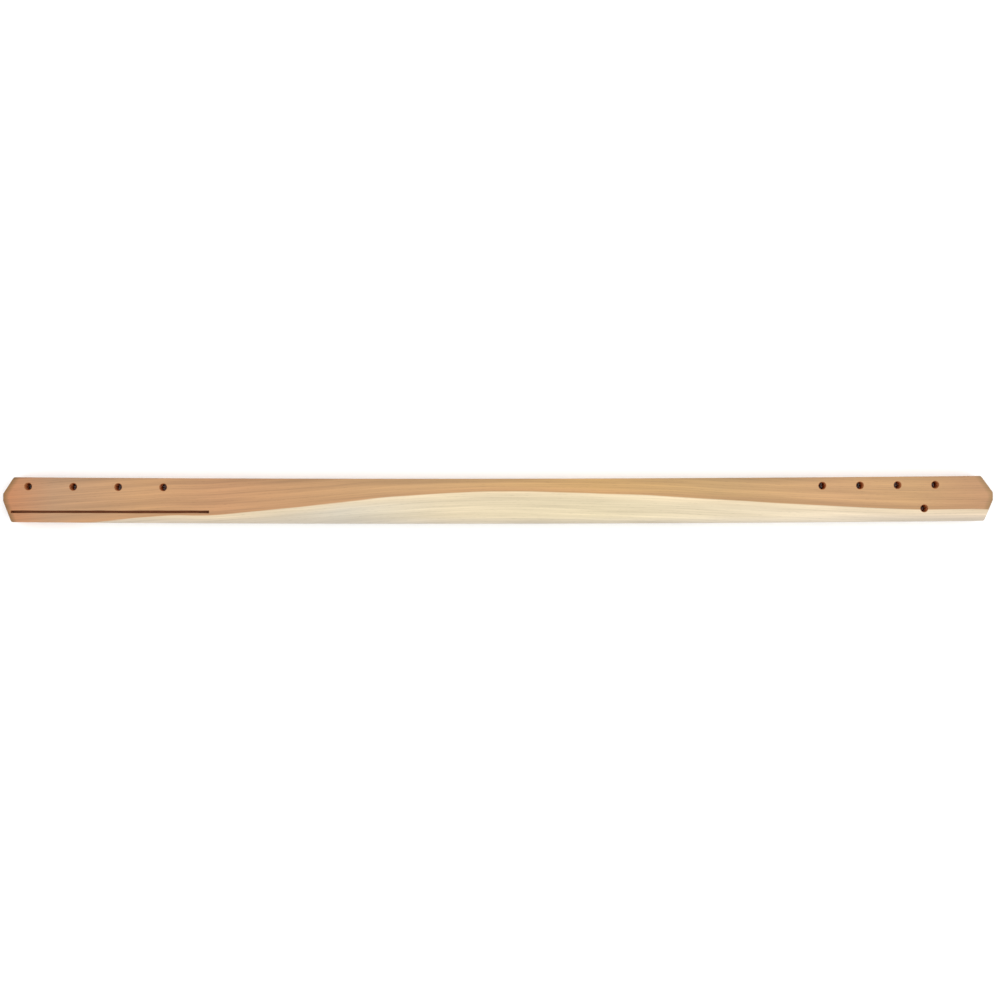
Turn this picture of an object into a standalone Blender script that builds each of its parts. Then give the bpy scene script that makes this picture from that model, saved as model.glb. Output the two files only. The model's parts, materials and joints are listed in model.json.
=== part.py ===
"""Grab rail: a straight two-tone timber bar with pointed ends, drilled for its bolts.

The rail lies on its back. X runs along it, Y runs across its face and Z is its
thickness. The origin is the middle of the back face.
"""

import math

import bmesh
import bpy
from mathutils import Vector

# Bar, in metres
LENGTH = 1.100  # tip to tip
WIDTH = 0.050  # across the face
THICKNESS = 0.030  # back face to front face
CROOK = 0.0025  # the middle of the bar lies this far below a line through its ends
ARRIS = 0.0010  # eased long edges, front and back

# Pointed ends: how far each corner lies behind its tip
LEFT_TOP_SLOPE = 0.0120
LEFT_BOTTOM_SLOPE = 0.0090
RIGHT_TOP_SLOPE = 0.0134
RIGHT_BOTTOM_SLOPE = 0.0100
POINT_DEPTH = 0.0225  # middle of the blunt point, below the top edge
POINT_FLAT = 0.0080  # height of the blunt point
CORNER_ROUND = 0.0030  # radius at each corner of an end

# Bolt holes
HOLE_DIAMETER = 0.0080
HOLES_IN_ROW = 4
LEFT_FIRST_HOLE = 0.0280  # from the left tip
LEFT_PITCH = 0.0500
LEFT_HOLE_DEPTH = 0.0102  # hole centres, below the top edge
RIGHT_FIRST_HOLE = 0.0643  # from the right tip
RIGHT_PITCH = 0.0418
RIGHT_HOLE_DEPTH = 0.0094
SINGLE_HOLE = 0.0765  # the lone lower hole, from the right tip
SINGLE_HOLE_RISE = 0.0145  # its centre, above the bottom edge

# Saw slot, cut into the front face and closed at both ends
SLOT_START = 0.0085  # from the left tip
SLOT_END = 0.2290  # from the left tip
SLOT_WIDTH = 0.0030
SLOT_DEPTH = 0.0120  # below the front face
SLOT_RISE = 0.0122  # its middle at half its length, above the bottom edge
SLOT_FALL = 0.0005  # how far it drops from its left end to its right end

# Where the brown heartwood meets the pale sapwood, as (along, up) pairs
LINE_BY_SLOT = (  # from the slot's right end, and from its lower side
    (-0.229, -0.0185),
    (-0.134, -0.0103),
    (-0.049, -0.0026),
    (0.016, -0.0008),
    (0.101, 0.0069),
)
LINE_BY_MIDDLE = (  # from mid-length, and from the bottom edge
    (-0.110, 0.0302),
    (0.003, 0.0356),
    (0.150, 0.0316),
)
LINE_BY_RIGHT_TIP = (  # from the right tip, and from the bottom edge
    (-0.240, 0.0218),
    (-0.110, 0.0142),
    (0.000, 0.0126),
)
SEAM_GAP = 0.0003  # clearance between the two timbers

# Fineness of the solids
EDGE_STEPS = 14
ROUND_STEPS = 4
HOLE_SIDES = 24
LINE_STEPS = 3
OVERCUT = 0.010  # how far each cutter runs past the faces it cuts
WELD = 0.00001

LEFT_TIP = -LENGTH / 2
RIGHT_TIP = LENGTH / 2
HALF_WIDTH = WIDTH / 2


def bow(x):
    """Rise of the crooked centreline at x, measured from the middle of the bar."""
    return CROOK * (2 * x / LENGTH) ** 2


# The bottom edge is lowest at mid-length and the top edge is highest at an end's corner,
# so this drop puts the middle of the whole bar's width on Y = 0.
HIGH_CORNER = LENGTH / 2 - min(LEFT_TOP_SLOPE, RIGHT_TOP_SLOPE)
CENTRE_DROP = bow(HIGH_CORNER) / 2


def centreline(x):
    return bow(x) - CENTRE_DROP


def top_edge(x):
    return centreline(x) + HALF_WIDTH


def bottom_edge(x):
    return centreline(x) - HALF_WIDTH


def clear_scene():
    for obj in list(bpy.data.objects):
        bpy.data.objects.remove(obj, do_unlink=True)


def new_collection(name):
    collection = bpy.data.collections.new(name)
    bpy.context.scene.collection.children.link(collection)
    return collection


def new_material(name, colour, roughness):
    material = bpy.data.materials.new(name)
    material.use_nodes = True
    shader = material.node_tree.nodes["Principled BSDF"]
    shader.inputs["Base Color"].default_value = (*colour, 1.0)
    shader.inputs["Roughness"].default_value = roughness
    shader.inputs["Metallic"].default_value = 0.0
    return material


def rounded(before, corner, after):
    """Points of the arc that rounds one corner of an outline."""
    back = (before - corner).normalized()
    ahead = (after - corner).normalized()
    half = back.angle(ahead) / 2
    reach = CORNER_ROUND / math.tan(half)
    centre = corner + (back + ahead).normalized() * CORNER_ROUND / math.sin(half)
    start = corner + back * reach - centre
    turn = math.pi - 2 * half
    if back.cross(ahead) > 0:
        turn = -turn
    points = []
    for step in range(ROUND_STEPS + 1):
        angle = turn * step / ROUND_STEPS
        cosine, sine = math.cos(angle), math.sin(angle)
        arm = Vector((start.x * cosine - start.y * sine, start.x * sine + start.y * cosine))
        points.append(centre + arm)
    return points


def end_corners(tip, inward, bottom_slope, top_slope):
    """The four corners of a pointed end, from the bottom edge up to the top edge."""
    low = tip + inward * bottom_slope
    high = tip + inward * top_slope
    point = top_edge(tip) - POINT_DEPTH
    return [
        Vector((low, bottom_edge(low))),
        Vector((tip, point - POINT_FLAT / 2)),
        Vector((tip, point + POINT_FLAT / 2)),
        Vector((high, top_edge(high))),
    ]


def long_edge(height, start, end):
    """Points along a long edge between two corners, not counting the corners."""
    stations = [start + (end - start) * step / EDGE_STEPS for step in range(1, EDGE_STEPS)]
    return [Vector((x, height(x))) for x in stations]


def bar_outline():
    right = end_corners(RIGHT_TIP, -1, RIGHT_BOTTOM_SLOPE, RIGHT_TOP_SLOPE)
    left = end_corners(LEFT_TIP, 1, LEFT_BOTTOM_SLOPE, LEFT_TOP_SLOPE)
    left.reverse()
    bottom = long_edge(bottom_edge, left[-1].x, right[0].x)
    top = long_edge(top_edge, right[-1].x, left[0].x)
    ring = bottom + right + top + left
    outline = []
    for index, point in enumerate(ring):
        if point in right or point in left:
            outline += rounded(ring[index - 1], point, ring[(index + 1) % len(ring)])
        else:
            outline.append(point)
    return outline


def slot_middle(x):
    """Height of the middle of the slot at x. The slot is straight and drops a little."""
    halfway = LEFT_TIP + (SLOT_START + SLOT_END) / 2
    share = (x - halfway) / (SLOT_END - SLOT_START)
    return bottom_edge(halfway) + SLOT_RISE - SLOT_FALL * share


def line_knots():
    """The points that the colour line is drawn through, from left to right."""
    slot_end = LEFT_TIP + SLOT_END
    slot_side = slot_middle(slot_end) - SLOT_WIDTH / 2
    knots = [Vector((slot_end + along, slot_side + up)) for along, up in LINE_BY_SLOT]
    for start, pairs in ((0, LINE_BY_MIDDLE), (RIGHT_TIP, LINE_BY_RIGHT_TIP)):
        for along, up in pairs:
            x = start + along
            knots.append(Vector((x, bottom_edge(x) + up)))
    return knots


def colour_line(shift):
    """A smooth line through the knots, moved up by shift and carried level past both tips."""
    knots = line_knots()
    knots.insert(0, knots[0] * 2 - knots[1])
    knots.append(knots[-1] * 2 - knots[-2])
    points = []
    for a, b, c, d in zip(knots, knots[1:], knots[2:], knots[3:]):
        for step in range(LINE_STEPS):
            t = step / LINE_STEPS
            points.append(
                b
                + (c - a) * (t / 2)
                + (a * 2 - b * 5 + c * 4 - d) * (t * t / 2)
                + (b * 3 - a - c * 3 + d) * (t**3 / 2)
            )
    points.append(knots[-2])
    points.insert(0, Vector((min(LEFT_TIP, points[0].x) - OVERCUT, points[0].y)))
    points.append(Vector((max(RIGHT_TIP, points[-1].x) + OVERCUT, points[-1].y)))
    return [point + Vector((0, shift)) for point in points]


def prism(name, outline, low, high, collection):
    """A flat outline made solid between two heights."""
    curve = bpy.data.curves.new(name, "CURVE")
    curve.dimensions = "2D"
    curve.fill_mode = "BOTH"
    curve.extrude = (high - low) / 2
    spline = curve.splines.new("POLY")
    spline.points.add(len(outline) - 1)
    for control, point in zip(spline.points, outline):
        control.co = (point.x, point.y, 0, 1)
    spline.use_cyclic_u = True
    drawn = bpy.data.objects.new(name + "_outline", curve)
    drawn.location.z = (low + high) / 2
    collection.objects.link(drawn)
    bpy.context.view_layer.update()
    evaluated = drawn.evaluated_get(bpy.context.evaluated_depsgraph_get())
    mesh = bpy.data.meshes.new_from_object(evaluated)
    sewn = bmesh.new()
    sewn.from_mesh(mesh)
    bmesh.ops.remove_doubles(sewn, verts=sewn.verts, dist=WELD)
    bmesh.ops.recalc_face_normals(sewn, faces=sewn.faces)
    sewn.to_mesh(mesh)
    sewn.free()
    mesh.name = name
    solid = bpy.data.objects.new(name, mesh)
    solid.matrix_world = drawn.matrix_world
    collection.objects.link(solid)
    bpy.data.objects.remove(drawn, do_unlink=True)
    return solid


def hide_cutter(cutter):
    cutter.hide_render = True
    cutter.display_type = "WIRE"


def bolt_hole(name, x, y, collection):
    """A drill's cut, straight through the thickness."""
    mesh = bpy.data.meshes.new(name)
    drill = bmesh.new()
    bmesh.ops.create_cone(
        drill,
        cap_ends=True,
        segments=HOLE_SIDES,
        radius1=HOLE_DIAMETER / 2,
        radius2=HOLE_DIAMETER / 2,
        depth=THICKNESS + 2 * OVERCUT,
    )
    drill.to_mesh(mesh)
    drill.free()
    cutter = bpy.data.objects.new(name, mesh)
    cutter.location = (x, y, THICKNESS / 2)
    collection.objects.link(cutter)
    hide_cutter(cutter)


def saw_slot(collection):
    """The saw's cut into the front face."""
    start = LEFT_TIP + SLOT_START
    end = LEFT_TIP + SLOT_END
    corners = ((start, -1), (end, -1), (end, 1), (start, 1))
    outline = [Vector((x, slot_middle(x) + side * SLOT_WIDTH / 2)) for x, side in corners]
    hide_cutter(prism("saw_slot", outline, THICKNESS - SLOT_DEPTH, THICKNESS + OVERCUT, collection))


def timber_cutter(name, shift, side, collection):
    """All the wood on one side of the colour line: side is 1 above it and -1 below it."""
    outline = colour_line(shift)
    far = side * (WIDTH + OVERCUT)
    outline.append(Vector((outline[-1].x, far)))
    outline.append(Vector((outline[0].x, far)))
    cutter = prism(name, outline, -OVERCUT, THICKNESS + OVERCUT, collection)
    hide_cutter(cutter)
    return cutter


def timber(name, material, other_side, holes, collection):
    """The whole bar, less what lies across the colour line and less the holes and the slot."""
    piece = prism(name, bar_outline(), 0, THICKNESS, collection)
    piece.data.materials.append(material)
    ease = piece.modifiers.new("eased_edges", "BEVEL")
    ease.width = ARRIS
    ease.segments = 1
    ease.limit_method = "ANGLE"
    ease.angle_limit = math.radians(60)
    split = piece.modifiers.new("colour_line", "BOOLEAN")
    split.operation = "DIFFERENCE"
    split.object = other_side
    drilled = piece.modifiers.new("holes_and_slot", "BOOLEAN")
    drilled.operation = "DIFFERENCE"
    drilled.operand_type = "COLLECTION"
    drilled.collection = holes
    return piece


def main():
    clear_scene()
    rail = new_collection("grab_rail")
    cutters = new_collection("cutters")
    holes = new_collection("holes_and_slot")

    for number in range(HOLES_IN_ROW):
        x = LEFT_TIP + LEFT_FIRST_HOLE + number * LEFT_PITCH
        bolt_hole(f"left_hole_{number + 1}", x, top_edge(x) - LEFT_HOLE_DEPTH, holes)
        x = RIGHT_TIP - RIGHT_FIRST_HOLE - number * RIGHT_PITCH
        bolt_hole(f"right_hole_{number + 1}", x, top_edge(x) - RIGHT_HOLE_DEPTH, holes)
    x = RIGHT_TIP - SINGLE_HOLE
    bolt_hole("single_hole", x, bottom_edge(x) + SINGLE_HOLE_RISE, holes)
    saw_slot(holes)

    sapwood_side = timber_cutter("sapwood_side", SEAM_GAP / 2, -1, cutters)
    heartwood_side = timber_cutter("heartwood_side", -SEAM_GAP / 2, 1, cutters)
    brown = new_material("heartwood", (0.56, 0.32, 0.17), 0.6)
    pale = new_material("sapwood", (0.82, 0.69, 0.49), 0.6)
    timber("heartwood", brown, sapwood_side, holes, rail)
    timber("sapwood", pale, heartwood_side, holes, rail)


main()
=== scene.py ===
import json
import math

import bmesh
import bpy
import numpy as np
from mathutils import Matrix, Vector, noise


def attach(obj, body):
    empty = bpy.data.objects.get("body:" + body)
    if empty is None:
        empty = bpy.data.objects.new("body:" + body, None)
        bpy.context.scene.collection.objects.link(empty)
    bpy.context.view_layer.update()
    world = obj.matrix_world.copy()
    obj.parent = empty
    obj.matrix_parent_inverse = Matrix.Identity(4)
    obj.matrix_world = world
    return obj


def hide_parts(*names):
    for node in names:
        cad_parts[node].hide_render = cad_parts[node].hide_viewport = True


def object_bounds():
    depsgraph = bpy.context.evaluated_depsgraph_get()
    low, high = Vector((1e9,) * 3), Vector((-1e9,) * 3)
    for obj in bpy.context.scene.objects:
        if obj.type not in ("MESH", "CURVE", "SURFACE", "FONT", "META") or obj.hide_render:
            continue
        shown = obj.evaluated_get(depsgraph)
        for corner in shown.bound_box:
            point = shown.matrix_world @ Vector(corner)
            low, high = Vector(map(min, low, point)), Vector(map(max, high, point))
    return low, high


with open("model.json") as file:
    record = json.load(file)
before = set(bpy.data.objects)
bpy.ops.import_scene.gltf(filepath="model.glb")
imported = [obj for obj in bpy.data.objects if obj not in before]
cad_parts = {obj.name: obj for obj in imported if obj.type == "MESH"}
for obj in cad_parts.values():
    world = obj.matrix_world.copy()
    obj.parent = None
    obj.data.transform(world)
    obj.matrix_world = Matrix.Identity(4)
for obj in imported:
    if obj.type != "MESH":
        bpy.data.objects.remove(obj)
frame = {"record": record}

cad_low, cad_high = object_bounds()

# ---- Planed bar --------------------------------------------------------------------
# The blank that both timbers are cut from: one plank of bare hardwood, planed on all
# four sides, eased along its edges and slightly crooked. Each end is sawn to a blunt
# point. Sizes are in metres, X runs along the bar and the back face lies at Z = 0.

WIDTH = 0.050
CROOK = 0.0025  # the middle lies this far below a line through the ends
ARRIS = 0.0010  # radius of the eased edges
SLOPES = {-1: (0.0090, 0.0120), 1: (0.0100, 0.0134)}  # how far bottom and top corners lie back
POINT_DEPTH = 0.0225  # middle of the blunt point, below the top edge
POINT_FLAT = 0.0080
CORNER_ROUND = 0.0030
CORNER_STEPS = 6
ARRIS_STEPS = 4
STATION = 0.0040  # spacing of the mesh along the bar
FACE_ROWS = 24
SIDE_ROWS = 12
EDGE_POINTS = 56  # along each long edge; the end corners replace the outer two at each end
CLOSEST = 0.00004  # cross-sections aren't put closer together than this
END_LEAN = 0.4  # faces that look along the bar by more than this are end grain

TIP = cad_high.x
THICKNESS = cad_high.z


def bottom_edge(x):
    return cad_low.y + CROOK * (x / TIP) ** 2


def top_edge(x):
    return bottom_edge(x) + WIDTH


def end_corners(side):
    """The four corners of one end, from its bottom edge up to its top edge."""
    bottom_slope, top_slope = SLOPES[side]
    tip = side * TIP
    low, high = tip - side * bottom_slope, tip - side * top_slope
    point = top_edge(tip) - POINT_DEPTH
    return [
        Vector((low, bottom_edge(low))),
        Vector((tip, point - POINT_FLAT / 2)),
        Vector((tip, point + POINT_FLAT / 2)),
        Vector((high, top_edge(high))),
    ]


def rounded(before, corner, after):
    """Points of the arc that rounds one corner."""
    back = (before - corner).normalized()
    ahead = (after - corner).normalized()
    half = back.angle(ahead) / 2
    centre = corner + (back + ahead).normalized() * CORNER_ROUND / math.sin(half)
    start = corner + back * CORNER_ROUND / math.tan(half) - centre
    turn = math.copysign(math.pi - 2 * half, ahead.cross(back))
    arc = []
    for step in range(CORNER_STEPS + 1):
        cosine = math.cos(turn * step / CORNER_STEPS)
        sine = math.sin(turn * step / CORNER_STEPS)
        arm = Vector((start.x * cosine - start.y * sine, start.x * sine + start.y * cosine))
        arc.append(centre + arm)
    return arc


def sawn_edges():
    """The bar's lower and upper edge, each as points in order along X."""
    stretch = np.linspace(-TIP, TIP, EDGE_POINTS)[2:-2]
    lower = [Vector((x, bottom_edge(x))) for x in stretch]
    upper = [Vector((x, top_edge(x))) for x in stretch]
    for side in SLOPES:
        corners = end_corners(side)
        inward = Vector((-side * WIDTH, 0))
        ring = [corners[0] + inward, *corners, corners[3] + inward]
        arcs = [rounded(*ring[i : i + 3]) for i in range(4)]
        lower += arcs[0] + arcs[1]
        upper += arcs[2] + arcs[3]
    return [np.array(sorted((p.x, p.y) for p in edge)) for edge in (lower, upper)]


lower_edge, upper_edge = sawn_edges()


def mesh_stations():
    """Where the bar's cross-sections lie: evenly along it, and closer round each end's corners."""
    ease = [TIP - ARRIS * (1 - math.cos(math.radians(a))) for a in (0, 30, 50, 70, 90)]
    even = np.linspace(-TIP, TIP, round(2 * TIP / STATION) + 1)
    wanted = sorted([*lower_edge[:, 0], *upper_edge[:, 0], *even, *ease, *(-x for x in ease)])
    kept = [-TIP]
    for x in wanted:
        if x - kept[-1] > CLOSEST and TIP - x > CLOSEST:
            kept.append(x)
    return kept + [TIP]


def cross_section(x):
    """Points round the bar at x: four eased edges, and rows of points across the faces."""
    low = np.interp(x, *lower_edge.T) + ARRIS
    high = np.interp(x, *upper_edge.T) - ARRIS
    short = max(ARRIS - (TIP - abs(x)), 0)
    inset = ARRIS - math.sqrt(ARRIS**2 - short**2)
    back, front = inset + ARRIS, THICKNESS - inset - ARRIS
    turns = ((high, back, -90), (high, front, 0), (low, front, 90), (low, back, 180))
    rows = (SIDE_ROWS, FACE_ROWS, SIDE_ROWS, FACE_ROWS)
    points = []
    for (y, z, start), count in zip(turns, rows):
        for step in range(ARRIS_STEPS + 1):
            angle = math.radians(start + 90 * step / ARRIS_STEPS)
            points.append(Vector((x, y + ARRIS * math.cos(angle), z + ARRIS * math.sin(angle))))
        points += [None] * (count - 1)
    for index, point in enumerate(points):
        if point is None:
            ahead = range(index, index + len(points))
            run = next(i for i in ahead if points[i % len(points)] is not None)
            last, following = points[index - 1], points[run % len(points)]
            points[index] = last.lerp(following, 1 / (run - index + 1))
    return points


def mark_faces(mesh, **marks):
    """Marks which faces are end grain, slot or hole, for the finish to read."""
    for label in ("end_grain", "slotted", "bored"):
        shares = marks.get(label, [0.0] * len(mesh.polygons))
        mesh.attributes.new(label, "FLOAT", "FACE").data.foreach_set("value", shares)


def planed_bar():
    mesh = bmesh.new()
    rings = [[mesh.verts.new(p) for p in cross_section(x)] for x in mesh_stations()]
    for here, following in zip(rings, rings[1:]):
        for i in range(len(here)):
            mesh.faces.new((here[i - 1], here[i], following[i], following[i - 1]))
    mesh.faces.new(rings[0])
    mesh.faces.new(rings[-1])
    bmesh.ops.recalc_face_normals(mesh, faces=mesh.faces)
    blank = bpy.data.meshes.new("planed_bar")
    mesh.to_mesh(blank)
    mesh.free()
    mark_faces(blank, end_grain=[float(abs(face.normal.x) > END_LEAN) for face in blank.polygons])
    return blank


blank = planed_bar()


# ---- Colour line -------------------------------------------------------------------
# Where the brown heartwood turns into pale sapwood: the edge of an old growth ring,
# which the straight saw cuts crossed at a shallow angle. The knots are (along, up),
# from the left tip and from the bottom edge.

LINE_KNOTS = (
    (0.000, -0.0090),
    (0.095, 0.0000),
    (0.180, 0.0080),
    (0.215, 0.0087),
    (0.245, 0.0103),
    (0.330, 0.0185),
    (0.440, 0.0302),
    (0.553, 0.0356),
    (0.700, 0.0316),
    (0.860, 0.0218),
    (0.990, 0.0142),
    (1.100, 0.0126),
)
LINE_STEPS = 12
OVERCUT = 0.010


def colour_line():
    """A smooth line through the knots, as points in order along X, carried past both tips."""
    knots = [Vector((along - TIP, bottom_edge(along - TIP) + up)) for along, up in LINE_KNOTS]
    knots = [knots[0] * 2 - knots[1], *knots, knots[-1] * 2 - knots[-2]]
    points = [Vector((-TIP - OVERCUT, knots[1].y))]
    for a, b, c, d in zip(knots, knots[1:], knots[2:], knots[3:]):
        for step in range(LINE_STEPS):
            t = step / LINE_STEPS
            curve = (c - a) * t + (a * 2 - b * 5 + c * 4 - d) * t**2 + (b * 3 - a - c * 3 + d) * t**3
            points.append(b + curve / 2)
    points += [knots[-2], Vector((TIP + OVERCUT, knots[-2].y))]
    return np.array([(p.x, p.y) for p in points])


line = colour_line()


def prism(name, outline, low, slotted):
    """A cutter: an outline made solid from a given height to past the front face."""
    mesh = bmesh.new()
    floor = mesh.faces.new([mesh.verts.new((x, y, low)) for x, y in outline])
    grown = bmesh.ops.extrude_face_region(mesh, geom=[floor])["geom"]
    raised = [item for item in grown if isinstance(item, bmesh.types.BMVert)]
    bmesh.ops.translate(mesh, verts=raised, vec=(0, 0, THICKNESS + OVERCUT - low))
    bmesh.ops.recalc_face_normals(mesh, faces=mesh.faces)
    data = bpy.data.meshes.new(name)
    mesh.to_mesh(data)
    mesh.free()
    mark_faces(data, slotted=[slotted] * len(data.polygons))
    cutter = bpy.data.objects.new(name, data)
    bpy.context.scene.collection.objects.link(cutter)
    return cutter


def beyond_line(name, side):
    """All the wood on one side of the colour line: side is 1 above it and -1 below it."""
    far = side * (WIDTH + OVERCUT)
    return prism(name, [*line, (line[-1][0], far), (line[0][0], far)], -OVERCUT, 0.0)


# ---- Saw slot ----------------------------------------------------------------------
# One cut along the grain, plunged into the front face and stopped short of the left tip.
# The blade wandered a little, so its two walls aren't quite straight.

SLOT_START = 0.0085  # from the left tip
SLOT_END = 0.2290
SLOT_WIDTH = 0.0030
SLOT_DEPTH = 0.0120
SLOT_RISE = 0.0122  # its middle at half its length, above the bottom edge
SLOT_FALL = 0.0005  # how far it drops from its left end to its right end
WANDER = 0.00022
SLOT_STEPS = 70


def saw_slot():
    start, end = SLOT_START - TIP, SLOT_END - TIP
    halfway = (start + end) / 2
    lower, upper = [], []
    for step in range(SLOT_STEPS + 1):
        x = start + (end - start) * step / SLOT_STEPS
        middle = bottom_edge(halfway) + SLOT_RISE - SLOT_FALL * (x - halfway) / (end - start)
        middle += noise.noise(Vector((x * 28, 3.1, 0))) * WANDER
        half = SLOT_WIDTH / 2 + noise.noise(Vector((x * 60, 8.4, 0))) * WANDER
        lower.append((x, middle - half))
        upper.append((x, middle + half))
    return prism("saw_slot", lower + upper[::-1], THICKNESS - SLOT_DEPTH, 1.0)


# ---- Bolt holes --------------------------------------------------------------------
# Bored straight through with a twist bit and left open. The bit wobbles, so each hole
# is a little out of round, and the wood's fibres break away in a narrow ring at each rim.

HOLE_DIAMETER = 0.0080
RIM_EASE = 0.0005  # how far the broken rim spreads
BIT_WOBBLE = 0.00025
BIT_BACK = -0.0030  # the bit reaches 3 mm past both faces
BIT_FRONT = 0.0330
BIT_STATIONS = 73  # one every half millimetre, so that the flare at each rim starts on one
HOLE_SIDES = 40


def add(tree, kind, inputs=None, **settings):
    """Adds a node. Inputs are set or linked by name, and a node stands for its output."""
    made = tree.nodes.new(kind)
    for name, value in settings.items():
        setattr(made, name, value)
    for name, value in (inputs or {}).items():
        usable = [socket for socket in made.inputs if socket.enabled]
        target = usable[name] if isinstance(name, int) else next(s for s in usable if s.name == name)
        if isinstance(value, bpy.types.Node):
            value = next(socket for socket in value.outputs if socket.enabled)
        if isinstance(value, bpy.types.NodeSocket):
            tree.links.new(value, target)
        else:
            target.default_value = value
    return made


def drilling_tree():
    """Bores a hole at each point of a mesh of hole centres."""
    tree = bpy.data.node_groups.new("drilled_holes", "GeometryNodeTree")
    face = tree.interface
    face.new_socket("Timber", in_out="INPUT", socket_type="NodeSocketGeometry")
    face.new_socket("Hole Centres", in_out="INPUT", socket_type="NodeSocketObject")
    face.new_socket("Bit Diameter", in_out="INPUT", socket_type="NodeSocketFloat")
    face.new_socket("Rim Ease", in_out="INPUT", socket_type="NodeSocketFloat")
    face.new_socket("Wobble", in_out="INPUT", socket_type="NodeSocketFloat")
    face.new_socket("Thickness", in_out="INPUT", socket_type="NodeSocketFloat")
    face.new_socket("Finish", in_out="INPUT", socket_type="NodeSocketMaterial")
    face.new_socket("Drilled", in_out="OUTPUT", socket_type="NodeSocketGeometry")
    given = tree.nodes.new("NodeGroupInput").outputs

    # The bit is a rod along Z that flares where it crosses each face.
    reach = {"Start": (0, 0, BIT_BACK), "End": (0, 0, BIT_FRONT)}
    stem = add(tree, "GeometryNodeCurvePrimitiveLine", reach)
    stem = add(tree, "GeometryNodeResampleCurve", {"Curve": stem, "Count": BIT_STATIONS})
    radius = add(tree, "ShaderNodeMath", {0: given["Bit Diameter"], 1: 0.5}, operation="MULTIPLY")
    ring = add(tree, "GeometryNodeCurvePrimitiveCircle", {"Resolution": HOLE_SIDES, "Radius": radius})
    place = add(tree, "ShaderNodeSeparateXYZ", {0: add(tree, "GeometryNodeInputPosition")})
    half = add(tree, "ShaderNodeMath", {0: given["Thickness"], 1: 0.5}, operation="MULTIPLY")
    off = add(tree, "ShaderNodeMath", {0: place.outputs["Z"], 1: half}, operation="SUBTRACT")
    out = add(tree, "ShaderNodeMath", {0: off}, operation="ABSOLUTE")
    inner = add(tree, "ShaderNodeMath", {0: half, 1: given["Rim Ease"]}, operation="SUBTRACT")
    spread = add(
        tree,
        "ShaderNodeMapRange",
        {"Value": out, "From Min": inner, "From Max": half, "To Min": 0.0, "To Max": given["Rim Ease"]},
    )
    share = add(tree, "ShaderNodeMath", {0: spread, 1: radius}, operation="DIVIDE")
    swell = add(tree, "ShaderNodeMath", {0: share, 1: 1.0}, operation="ADD")
    bit = add(
        tree,
        "GeometryNodeCurveToMesh",
        {"Curve": stem, "Profile Curve": ring, "Scale": swell, "Fill Caps": True},
    )

    # One bit at each centre, each with its own wobble.
    centres = add(tree, "GeometryNodeObjectInfo", {"Object": given["Hole Centres"]})
    bits = add(
        tree,
        "GeometryNodeInstanceOnPoints",
        {"Points": centres.outputs["Geometry"], "Instance": bit},
    )
    bits = add(tree, "GeometryNodeRealizeInstances", {"Geometry": bits})
    ripple = add(tree, "ShaderNodeTexNoise", {"Scale": 380.0, "Detail": 2.0})
    swing = add(tree, "ShaderNodeMath", {0: ripple, 1: 0.5}, operation="SUBTRACT")
    swing = add(tree, "ShaderNodeMath", {0: swing, 1: given["Wobble"]}, operation="MULTIPLY")
    push = add(
        tree,
        "ShaderNodeVectorMath",
        {0: add(tree, "GeometryNodeInputNormal"), "Scale": swing},
        operation="SCALE",
    )
    bits = add(tree, "GeometryNodeSetPosition", {"Geometry": bits, "Offset": push})
    bits = add(
        tree,
        "GeometryNodeStoreNamedAttribute",
        {"Geometry": bits, "Name": "bored", "Value": 1.0},
        data_type="FLOAT",
        domain="FACE",
    )
    drilled = add(
        tree,
        "GeometryNodeMeshBoolean",
        {"Mesh 1": given["Timber"], "Mesh 2": bits},
        operation="DIFFERENCE",
        solver="EXACT",
    )
    whole = add(tree, "GeometryNodeRealizeInstances", {"Geometry": drilled})
    done = add(tree, "GeometryNodeSetMaterial", {"Geometry": whole, "Material": given["Finish"]})
    add(tree, "NodeGroupOutput", {"Drilled": done})
    return tree


def hole_centres():
    """A mesh with one point for each bolt hole that the rail's record gives room for."""
    mesh = bmesh.new()
    for opening in frame["record"]["physics"]["openings"]:
        low, high = opening["box_m"]
        mesh.verts.new(((low[0] + high[0]) / 2, (low[1] + high[1]) / 2, 0))
    data = bpy.data.meshes.new("hole_centres")
    mesh.to_mesh(data)
    mesh.free()
    centres = bpy.data.objects.new("hole_centres", data)
    bpy.context.scene.collection.objects.link(centres)
    return centres


# ---- Bare timber -------------------------------------------------------------------
# Planed hardwood with no finish on it, like hickory: pinkish-brown heartwood in long
# soft streaks, creamy sapwood, growth lines along the grain and short dark pores. It is
# matt, with a weak broad shine, and its sawn ends are darker.


def linear(code):
    """An sRGB hex colour as linear red, green, blue and alpha."""
    parts = [int(code[i : i + 2], 16) / 255 for i in (0, 2, 4)]
    return [c / 12.92 if c <= 0.04045 else ((c + 0.055) / 1.055) ** 2.4 for c in parts] + [1]


HEART_TONES = (  # along the bar, from the left tip
    (0.00, "AA6F45"),
    (0.05, "A37D5B"),
    (0.14, "AD8359"),
    (0.22, "AC7F57"),
    (0.31, "AA8157"),
    (0.42, "AF895D"),
    (0.60, "B8915B"),
    (0.72, "AE8B5C"),
    (0.84, "B0885E"),
    (0.92, "B0895D"),
    (1.00, "AA7F59"),
)
SAP_TONES = (
    (0.10, "A8927D"),
    (0.22, "BEAD92"),
    (0.34, "B5AC9A"),
    (0.45, "C4B597"),
    (0.60, "C4B696"),
    (0.75, "CDBEA1"),
    (0.88, "C7B79F"),
    (1.00, "C9B69F"),
)
RED_BAND = "A37953"  # heartwood just above the colour line
SAP_GLOW = "D3BF9D"  # sapwood just below it
SAP_EDGE_SHADE = "A89F92"  # painted shade: sapwood greyed along the bottom edge
END_SHADE = "C6D3BC"  # painted shade in the heartwood by the sawn ends, multiplied in
SLOT_WOOD = "A46134"  # heartwood inside the slot
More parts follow.
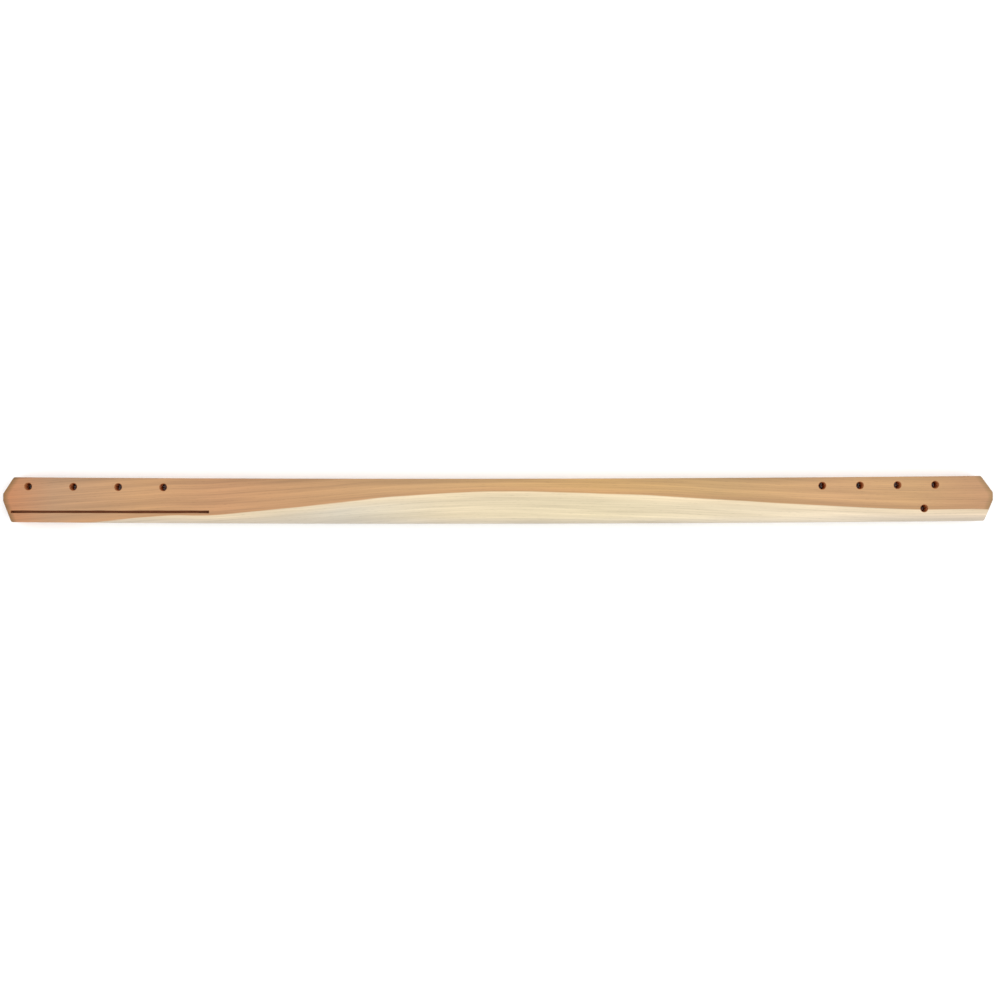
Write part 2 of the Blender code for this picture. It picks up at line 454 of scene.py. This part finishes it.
HOLE_MOUTH = "9A6238"  # the wall of a hole near either face, darker and redder than the face
HOLE_WALL_LIGHT = "E8A468"  # painted light: the wall further in, lightened to stand in for light bounced down the hole
RING_SPACING = 0.0026  # one year's growth
PORE = (0.0080, 0.00060)  # drawn twice as coarse as real pores, so that they show


def along_bar(tree, x, tones):
    """A colour that changes slowly from the left tip to the right tip."""
    share = add(tree, "ShaderNodeMapRange", {"Value": x, "From Min": -TIP, "From Max": TIP})
    ramp = add(tree, "ShaderNodeValToRGB", {"Fac": share})
    stops = ramp.color_ramp.elements
    while len(stops) < len(tones):
        stops.new(0.5)
    for stop, (place, code) in zip(stops, tones):
        stop.position = place
        stop.color = linear(code)
    return ramp


def blend(tree, share, start, end):
    """The start colour, turning into the end colour as the share goes from 0 to 1."""
    return add(tree, "ShaderNodeMix", {"Factor": share, "A": start, "B": end}, data_type="RGBA")


def ranged(tree, value, low, high, at_low, at_high):
    """A number for each value: at_low up to low, at_high from high on, and even between."""
    limits = {"From Min": low, "From Max": high, "To Min": at_low, "To Max": at_high}
    return add(tree, "ShaderNodeMapRange", {"Value": value, **limits})


def darker(tree, colour, share):
    """The colour times a share, either a number or a node."""
    return add(tree, "ShaderNodeVectorMath", {0: colour, "Scale": share}, operation="SCALE")


def tinted(tree, share, colour, tint):
    """The colour, multiplied by the tint as the share goes from 0 to 1."""
    inputs = {"Factor": share, "A": colour, "B": linear(tint)}
    return add(tree, "ShaderNodeMix", inputs, data_type="RGBA", blend_type="MULTIPLY")


def timber_finish(name):
    finish = bpy.data.materials.new(name)
    finish.use_nodes = True
    tree = finish.node_tree
    shader = tree.nodes["Principled BSDF"]
    place = add(tree, "ShaderNodeTexCoord").outputs["Object"]
    split = add(tree, "ShaderNodeSeparateXYZ", {0: place})
    x, z = split.outputs["X"], split.outputs["Z"]
    above = add(tree, "ShaderNodeAttribute", attribute_name="above_line").outputs["Fac"]
    across = add(tree, "ShaderNodeAttribute", attribute_name="across").outputs["Fac"]
    to_end = add(tree, "ShaderNodeAttribute", attribute_name="to_sawn_end").outputs["Fac"]
    end_grain = add(tree, "ShaderNodeAttribute", attribute_name="end_grain").outputs["Fac"]
    slotted = add(tree, "ShaderNodeAttribute", attribute_name="slotted").outputs["Fac"]
    bored = add(tree, "ShaderNodeAttribute", attribute_name="bored").outputs["Fac"]

    # Depth into the tree: nearly parallel to the colour line, bowed through the thickness.
    lean = add(tree, "ShaderNodeMath", {0: above, 1: 0.8}, operation="MULTIPLY")
    lean = add(tree, "ShaderNodeMath", {0: across, 1: 0.2, 2: lean}, operation="MULTIPLY_ADD")
    off = add(tree, "ShaderNodeMath", {0: z, 1: THICKNESS / 2}, operation="SUBTRACT")
    bow = add(tree, "ShaderNodeMath", {0: off, 1: off}, operation="MULTIPLY")
    lean = add(tree, "ShaderNodeMath", {0: bow, 1: 6.0, 2: lean}, operation="MULTIPLY_ADD")
    slow = add(tree, "ShaderNodeMapping", {"Vector": place, "Scale": (7, 30, 30)})
    warp = add(tree, "ShaderNodeTexNoise", {"Vector": slow, "Scale": 1.0, "Detail": 2.0})
    ring = add(tree, "ShaderNodeMath", {0: warp, 1: 0.0030, 2: lean}, operation="MULTIPLY_ADD")
    grain = add(tree, "ShaderNodeCombineXYZ", {0: x, 1: ring, 2: z})

    # Soft streaks about 200 mm long and 6 mm wide, and fine lines about 70 mm by 1.6 mm.
    streak_at = add(tree, "ShaderNodeMapping", {"Vector": grain, "Scale": (5, 170, 60)})
    streak = add(tree, "ShaderNodeTexNoise", {"Vector": streak_at, "Scale": 1.0, "Detail": 3.0})
    line_at = add(tree, "ShaderNodeMapping", {"Vector": grain, "Scale": (14, 620, 300)})
    fine = add(tree, "ShaderNodeTexNoise", {"Vector": line_at, "Scale": 1.0, "Detail": 3.0})

    # Each year starts with early wood, and the open pores lie in it.
    turns = add(tree, "ShaderNodeMath", {0: ring, 1: RING_SPACING}, operation="DIVIDE")
    turns = add(tree, "ShaderNodeMath", {0: streak, 1: 2.0, 2: turns}, operation="MULTIPLY_ADD")
    year = add(tree, "ShaderNodeMath", {0: turns}, operation="FRACT")
    early = add(tree, "ShaderNodeValToRGB", {"Fac": year})
    early.color_ramp.elements[0].color = (1, 1, 1, 1)
    early.color_ramp.elements[1].position = 0.55
    early.color_ramp.elements[1].color = (0, 0, 0, 1)

    pore_size = (1 / PORE[0], 1 / PORE[1], 1 / PORE[1])
    pore_at = add(tree, "ShaderNodeMapping", {"Vector": grain, "Scale": pore_size})
    cell = add(tree, "ShaderNodeTexVoronoi", {"Vector": pore_at, "Scale": 1.0}, feature="F1")
    pore = ranged(tree, cell, 0.15, 0.38, 1.0, 0.0)
    pores = add(tree, "ShaderNodeMath", {0: pore, 1: early}, operation="MULTIPLY")

    # Brown wood: slow change along the bar, redder by the line, darker by the top edge.
    brown = along_bar(tree, x, HEART_TONES)
    near = ranged(tree, above, 0.001, 0.007, 1.0, 0.0)
    near = add(tree, "ShaderNodeMath", {0: near, 1: streak}, operation="MULTIPLY")
    brown = blend(tree, near, brown, linear(RED_BAND))
    brown = darker(tree, brown, ranged(tree, across, WIDTH - 0.0085, WIDTH - 0.0030, 1.0, 0.84))

    # Painted shade darkens it by the sawn ends, more at the left than at the right.
    end_shade = ranged(tree, to_end, 0.0020, 0.0065, 1.0, 0.0)
    left = ranged(tree, x, -0.1, 0.1, 1.0, 0.6)
    end_shade = add(tree, "ShaderNodeMath", {0: end_shade, 1: left}, operation="MULTIPLY")
    brown = tinted(tree, end_shade, brown, END_SHADE)

    # Pale wood: lightest by the line, greyed along the bottom edge by painted shade.
    pale = along_bar(tree, x, SAP_TONES)
    pale = blend(tree, ranged(tree, above, -0.009, -0.001, 0.0, 0.6), pale, linear(SAP_GLOW))
    pale = blend(tree, ranged(tree, across, 0.0, 0.008, 0.7, 0.0), pale, linear(SAP_EDGE_SHADE))

    # The colours change over within a millimetre, along an uneven line that slants into the bar.
    slant = add(tree, "ShaderNodeMath", {0: z, 1: THICKNESS}, operation="SUBTRACT")
    slant = add(tree, "ShaderNodeMath", {0: slant, 1: 0.06, 2: above}, operation="MULTIPLY_ADD")
    ragged = add(tree, "ShaderNodeMath", {0: fine, 1: 0.5}, operation="SUBTRACT")
    ragged = add(tree, "ShaderNodeMath", {0: ragged, 1: 0.0030, 2: slant}, operation="MULTIPLY_ADD")
    heart = ranged(tree, ragged, -0.0005, 0.0005, 0.0, 1.0)
    wood = blend(tree, heart, pale, brown)

    # Streaks and fine lines lighten and darken both woods; early wood and pores darken them.
    # The wood inside the slot and the holes is redder, painted light lifts the hole walls further in,
    # and sawn end grain is darker.
    wood = darker(tree, wood, ranged(tree, streak, 0.3, 0.7, 0.84, 1.14))
    wood = darker(tree, wood, ranged(tree, fine, 0.3, 0.7, 0.93, 1.07))
    wood = darker(tree, wood, ranged(tree, early, 0.0, 1.0, 1.0, 0.94))
    wood = darker(tree, wood, ranged(tree, pores, 0.0, 1.0, 1.0, 0.78))
    wood = blend(tree, slotted, wood, linear(SLOT_WOOD))
    wood = blend(tree, bored, wood, linear(HOLE_MOUTH))
    # Painted light: deeper in each hole the wall is lightened, standing in for light bounced down it.
    deep = ranged(tree, bow, 0.0085**2, 0.0125**2, 1.0, 0.0)
    deep = add(tree, "ShaderNodeMath", {0: deep, 1: bored}, operation="MULTIPLY")
    wood = blend(tree, deep, wood, linear(HOLE_WALL_LIGHT))
    wood = darker(tree, wood, ranged(tree, end_grain, 0.0, 1.0, 1.0, 0.80))
    tree.links.new(wood.outputs[0], shader.inputs["Base Color"])

    # Planing leaves the wood matt; open pores catch less light than the wood between them.
    tree.links.new(ranged(tree, fine, 0.3, 0.7, 0.58, 0.72).outputs[0], shader.inputs["Roughness"])
    height = add(tree, "ShaderNodeMath", {0: pores, 1: -1.0, 2: fine}, operation="MULTIPLY_ADD")
    bump = add(tree, "ShaderNodeBump", {"Height": height, "Strength": 0.35, "Distance": 0.00012})
    tree.links.new(bump.outputs[0], shader.inputs["Normal"])
    shader.inputs["IOR"].default_value = 1.5
    return finish


# ---- Heartwood and sapwood ---------------------------------------------------------
# The two timbers of the bar. Each is the planed blank less the wood across the colour
# line, less the saw slot and less the bolt holes. They meet with no gap, as grown.

SMOOTH_UNDER = math.radians(28)


def sawn_end_distance(point):
    """How far a point lies inside the nearest of the three cuts that shape its end."""
    corners = end_corners(math.copysign(1, point.x))
    found = []
    for near, far in zip(corners, corners[1:]):
        run = (far - near).normalized()
        found.append(abs(run.cross(point - near)))
    return min(found)


def timber(name, waste, slot_cutter, centres, drilling, finish):
    cut = bpy.data.objects.new(name, blank.copy())
    bpy.context.scene.collection.objects.link(cut)
    for cutter in (waste, slot_cutter):
        boolean = cut.modifiers.new(cutter.name, "BOOLEAN")
        boolean.operation = "DIFFERENCE"
        boolean.object = cutter
    drill = cut.modifiers.new("drilled_holes", "NODES")
    drill.node_group = drilling
    given = {
        "Hole Centres": centres,
        "Bit Diameter": HOLE_DIAMETER,
        "Rim Ease": RIM_EASE,
        "Wobble": BIT_WOBBLE,
        "Thickness": THICKNESS,
        "Finish": finish,
    }
    for item in drilling.interface.items_tree:
        if item.name in given:
            drill[item.identifier] = given[item.name]
    bpy.context.view_layer.update()
    ready = cut.evaluated_get(bpy.context.evaluated_depsgraph_get())
    mesh = bpy.data.meshes.new_from_object(ready)
    cut.modifiers.clear()
    cut.data = mesh
    above, across, to_end = [], [], []
    for vertex in mesh.vertices:
        here = vertex.co
        above.append(here.y - float(np.interp(here.x, *line.T)))
        across.append(here.y - bottom_edge(here.x))
        to_end.append(sawn_end_distance(here.xy))
    for label, values in (("above_line", above), ("across", across), ("to_sawn_end", to_end)):
        mesh.attributes.new(label, "FLOAT", "POINT").data.foreach_set("value", values)
    mesh.shade_smooth()
    mesh.set_sharp_from_angle(angle=SMOOTH_UNDER)
    return cut


slot_cutter = saw_slot()
centres = hole_centres()
drilling = drilling_tree()
below = beyond_line("below_line", -1)
above = beyond_line("above_line", 1)

brown_finish = timber_finish("planed_heartwood")
heartwood = timber("brown_heartwood", below, slot_cutter, centres, drilling, brown_finish)
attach(heartwood, "root")
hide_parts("heartwood")

pale_finish = timber_finish("planed_sapwood")
sapwood = timber("pale_sapwood", above, slot_cutter, centres, drilling, pale_finish)
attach(sapwood, "root")
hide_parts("sapwood")

for used in (slot_cutter, centres, below, above):
    bpy.data.objects.remove(used, do_unlink=True)


# ---- Studio ------------------------------------------------------------------------
# The rail lies on a sweep of white paper under a bright white tent, with a broad soft
# lamp off each end. Nothing shines across it, so its long sides throw almost no shadow.

FLOOR_SIZE = 30.0
LENS = 85.0
SENSOR = 36.0
SEEN_WIDTH = 1.1110  # width of the view at the front face
AIM = (0.0022, 0.0001)  # where the camera stands over the rail's face
ROLL = -0.081  # degrees
LAMPS = (("left_lamp", -38, 0.75), ("right_lamp", 38, 1.15))  # name, lean in degrees, strength
LAMP_SPREAD = 60  # degrees across; wide, so that the shadows are soft

floor_mesh = bmesh.new()
bmesh.ops.create_grid(floor_mesh, x_segments=1, y_segments=1, size=FLOOR_SIZE)
floor_data = bpy.data.meshes.new("white_sweep")
floor_mesh.to_mesh(floor_data)
floor_mesh.free()
floor = bpy.data.objects.new("white_sweep", floor_data)
bpy.context.scene.collection.objects.link(floor)
paper = bpy.data.materials.new("matt_white_paper")
paper.use_nodes = True
paper.node_tree.nodes["Principled BSDF"].inputs["Base Color"].default_value = linear("F7F7F7")
paper.node_tree.nodes["Principled BSDF"].inputs["Roughness"].default_value = 0.9
floor_data.materials.append(paper)

tent = bpy.data.worlds.new("white_tent")
tent.use_nodes = True
tent.node_tree.nodes["Background"].inputs["Color"].default_value = linear("FFFFFF")
tent.node_tree.nodes["Background"].inputs["Strength"].default_value = 1.0
bpy.context.scene.world = tent
for name, lean, strength in LAMPS:
    lamp = bpy.data.lights.new(name, "SUN")
    lamp.energy = strength
    lamp.angle = math.radians(LAMP_SPREAD)
    stand = bpy.data.objects.new(name, lamp)
    stand.rotation_euler = (0, math.radians(lean), 0)
    bpy.context.scene.collection.objects.link(stand)

lens = bpy.data.cameras.new("camera")
lens.lens = LENS
lens.sensor_width = SENSOR
camera = bpy.data.objects.new("camera", lens)
camera.location = (*AIM, THICKNESS + SEEN_WIDTH * LENS / SENSOR)
camera.rotation_euler = (0, 0, math.radians(ROLL))
bpy.context.scene.collection.objects.link(camera)
bpy.context.scene.camera = camera
bpy.context.scene.view_settings.view_transform = "Standard"
